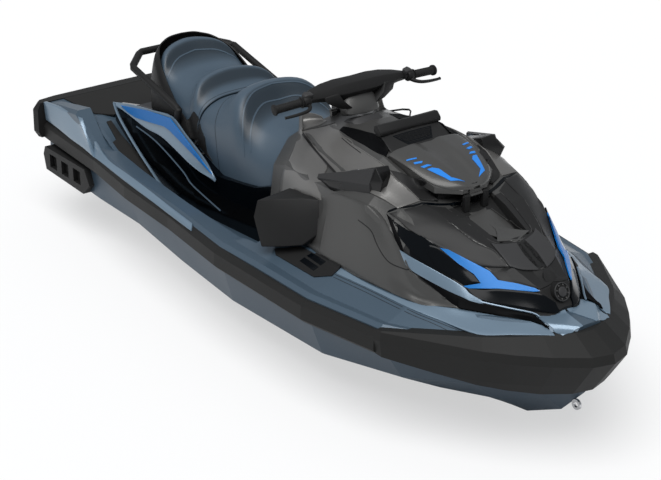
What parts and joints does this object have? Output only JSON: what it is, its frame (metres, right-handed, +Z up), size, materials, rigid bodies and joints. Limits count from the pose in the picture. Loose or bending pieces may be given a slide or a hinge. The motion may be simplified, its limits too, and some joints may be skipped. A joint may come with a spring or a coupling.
{
  "type": "personal watercraft",
  "caption": "Sit-on personal watercraft with a vee hull, a saddle for three in a row, handlebar steering, a tipping front storage hood and a jet pump at the stern.",
  "frame": {"origin": "amidships on the centreline, at the waterline, 280 mm above the keel's baseline", "axes": "+X to the bow, +Y to port, +Z up"},
  "size_m": [3.4446, 1.2562, 1.0933],
  "materials": {
    "hull_paint": "satin blue-grey metallic gelcoat",
    "deck_paint": "satin blue-grey metallic gelcoat",
    "engine": "cast",
    "black_gloss": "gloss black",
    "seat_vinyl": "marine vinyl",
    "black_plastic": "textured black",
    "grey_paint": "grey metallic",
    "grey_plastic": "dark grey satin",
    "screen": "dark display glass",
    "mirror": "mirror",
    "blue_trim": "bright blue",
    "rail_rubber": "black rubber",
    "pump_metal": "cast aluminium",
    "steel": "stainless",
    "mat": "dark foam rubber matting",
    "grip_rubber": "ribbed rubber"
  },
  "bodies": {
    "craft": {"hull": "hull_paint", "deck": "deck_paint", "intake_shoe": "hull_paint", "engine_block": "engine", "pedestal": "black_gloss", "driver_seat": "seat_vinyl", "passenger_seat": "seat_vinyl", "front_frame": "black_plastic", "bin_frames": "black_plastic", "glovebox_bin": "black_plastic", "side_panels": "grey_paint", "lens_panels": "black_gloss", "console": "grey_paint", "fascia": "grey_plastic", "storage_bin": "black_plastic", "visor": "black_plastic", "display": "screen", "mirrors": "grey_plastic", "mirror_glasses": "mirror", "accents": "blue_trim", "bow_cap": "black_plastic", "rub_rails": "rail_rubber", "bow_bumper": "rail_rubber", "stern_bumper": "rail_rubber", "side_trims": "blue_trim", "footwell_pods": "grey_plastic", "grab_handle": "black_plastic", "steering_neck": "grey_plastic", "pump": "pump_metal", "intake_grate": "pump_metal", "ride_plate": "black_plastic", "bow_eye": "steel", "stern_eyes": "steel", "sponsons": "black_plastic", "platform_mat": "mat", "footwell_mats": "mat", "cargo_fittings": "black_plastic"},
    "steering_bars": {"handlebar": "black_plastic", "grips": "grip_rubber", "levers": "black_plastic"},
    "jet_nozzle": {"nozzle": "pump_metal"},
    "bucket": {"reverse_bucket": "black_plastic"},
    "rotor": {"impeller": "steel", "drive_shaft": "steel"},
    "hood": {"hood_lid": "grey_paint"},
    "glovebox": {"glove_lid": "grey_plastic"}
  },
  "joints": [
    {"name": "steering", "type": "hinge", "parent": "craft", "child": "steering_bars", "pos_m": [0.238, 0, 0.665], "axis": [-0.5, 0, 0.866], "range_deg": [-25, 25]},
    {"name": "nozzle_steer", "type": "hinge", "parent": "craft", "child": "jet_nozzle", "pos_m": [-1.612, 0, -0.14], "axis": [0, 0, 1], "range_deg": [-20, 20]},
    {"name": "reverse", "type": "hinge", "parent": "craft", "child": "bucket", "pos_m": [-1.54, 0, -0.14], "axis": [0, -1, 0], "range_deg": [0, 75]},
    {"name": "impeller_spin", "type": "hinge", "parent": "craft", "child": "rotor", "pos_m": [-1.366, 0, -0.14], "axis": [1, 0, 0], "continuous": true},
    {"name": "hood_tip", "type": "hinge", "parent": "craft", "child": "hood", "pos_m": [0.93268, 0, 0.55], "axis": [0, 1, 0], "range_deg": [0, 60]},
    {"name": "glovebox_tip", "type": "hinge", "parent": "craft", "child": "glovebox", "pos_m": [0.098, 0, 0.654], "axis": [0, 1, 0], "range_deg": [0, 50]}
  ],
  "couplings": [
    {"joint": "nozzle_steer", "follows": "steering", "ratio": -0.8}
  ]
}
